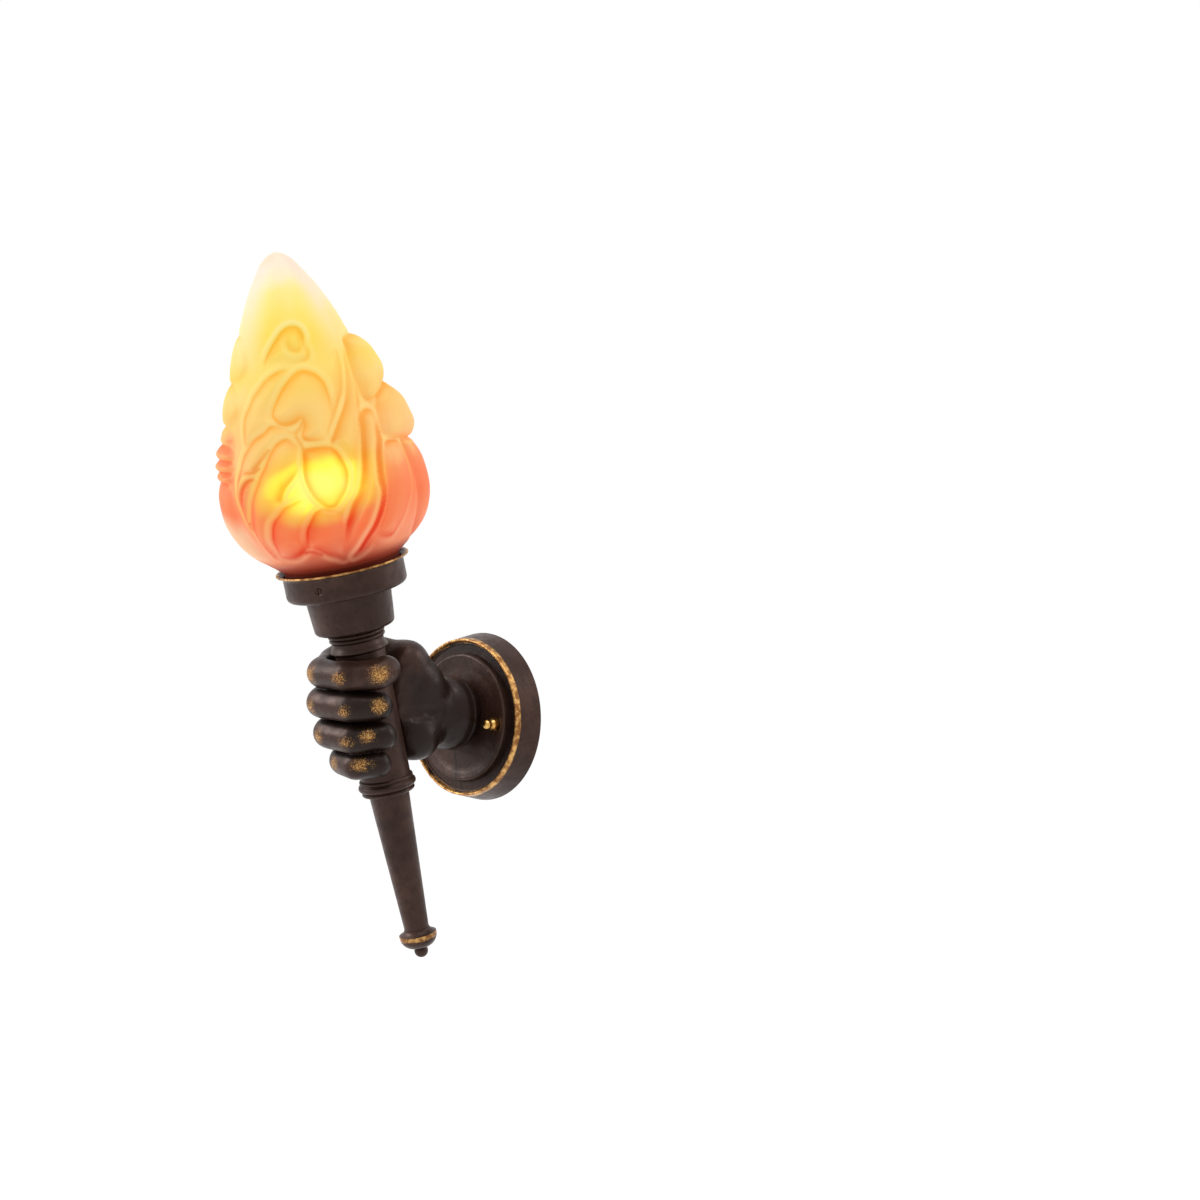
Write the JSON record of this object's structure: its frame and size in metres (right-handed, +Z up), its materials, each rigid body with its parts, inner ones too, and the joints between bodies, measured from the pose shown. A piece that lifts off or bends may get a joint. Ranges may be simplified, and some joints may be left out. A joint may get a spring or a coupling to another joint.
{
  "type": "torch wall sconce",
  "caption": "Wall sconce: a cast fist on a round wall plate grips a leaning tapered torch, and a frosted glass flame shade stands in a ring at its top over a screw bulb.",
  "frame": {"origin": "on the wall plane, at the middle of the round wall plate", "axes": "+Y into the wall, +Z up, the light stands out towards -Y, +X to the right for someone who faces the wall"},
  "size_m": [0.1425, 0.2184, 0.4845],
  "materials": {
    "bronze_casting": "satin",
    "bronze_metal": "satin",
    "zinc_steel": "satin",
    "green_screw": "satin",
    "polished_brass": "polished",
    "contact_brass": "satin",
    "porcelain": "gloss",
    "flame_glass": "satin",
    "bulb_glass": "gloss",
    "bulb_metal": "satin",
    "brown_lead": "satin",
    "blue_lead": "satin",
    "green_lead": "satin"
  },
  "bodies": {
    "root": {"crossbar": "zinc_steel", "mounting_studs": "zinc_steel", "stud_lock_nuts": "zinc_steel", "ground_screw": "green_screw", "wall_plate": "bronze_casting", "fist": "bronze_casting", "wrist_nipple": "zinc_steel", "wrist_washer": "zinc_steel", "wrist_lock_nut": "zinc_steel", "grip_tube": "bronze_metal", "palm_bolt": "zinc_steel", "tail_taper": "bronze_metal", "tail_rod": "zinc_steel", "tail_rod_nut": "zinc_steel", "finial": "bronze_casting", "neck": "bronze_metal", "socket_cup": "bronze_metal", "gallery": "bronze_metal", "neck_nipple": "zinc_steel", "nipple_top_nut": "zinc_steel", "nipple_bottom_nut": "zinc_steel", "lampholder_base": "porcelain", "lampholder_insert": "porcelain", "lampholder_sleeve": "porcelain", "lampholder_shell": "contact_brass", "centre_contact": "contact_brass", "live_lead": "brown_lead", "neutral_lead": "blue_lead", "earth_lead": "green_lead", "terminal_block": "porcelain", "terminal_screws": "contact_brass"},
    "shade": {"flame_shade": "flame_glass"},
    "bulb_contact": {"bulb_tip": "bulb_metal"},
    "bulb": {"bulb_glass": "bulb_glass", "bulb_cap": "bulb_metal"},
    "set_screw_a": {"set_screw_1": "bronze_metal"},
    "set_screw_b": {"set_screw_2": "bronze_metal"},
    "set_screw_c": {"set_screw_3": "bronze_metal"},
    "cap_nut_l": {"cap_nut_left": "polished_brass"},
    "cap_nut_r": {"cap_nut_right": "polished_brass"}
  },
  "joints": [
    {"name": "shade_lift", "type": "slide", "parent": "root", "child": "shade", "axis": [0, -0.2605, 0.9655], "range_m": [0, 0.14]},
    {"name": "bulb_rise", "type": "slide", "parent": "root", "child": "bulb_contact", "axis": [0, -0.2605, 0.9655], "range_m": [0, 0.024]},
    {"name": "bulb_turn", "type": "hinge", "parent": "bulb_contact", "child": "bulb", "pos_m": [0, -0.1027, 0], "axis": [0, -0.2605, 0.9655], "range_deg": [0, 2380]},
    {"name": "set_screw_a_travel", "type": "slide", "parent": "root", "child": "set_screw_a", "axis": [0.3907, -0.8887, -0.2398], "range_m": [0, 0.004]},
    {"name": "set_screw_b_travel", "type": "slide", "parent": "root", "child": "set_screw_b", "axis": [0.6018, 0.7711, 0.208], "range_m": [0, 0.004]},
    {"name": "set_screw_c_travel", "type": "slide", "parent": "root", "child": "set_screw_c", "axis": [-0.9925, 0.1177, 0.0317], "range_m": [0, 0.004]},
    {"name": "cap_nut_l_travel", "type": "slide", "parent": "root", "child": "cap_nut_l", "axis": [0, -1, 0], "range_m": [0, 0.012]},
    {"name": "cap_nut_r_travel", "type": "slide", "parent": "root", "child": "cap_nut_r", "axis": [0, -1, 0], "range_m": [0, 0.012]}
  ],
  "couplings": [
    {"joint": "bulb_rise", "follows": "bulb_turn", "m_per_rad": 0.00057757}
  ]
}
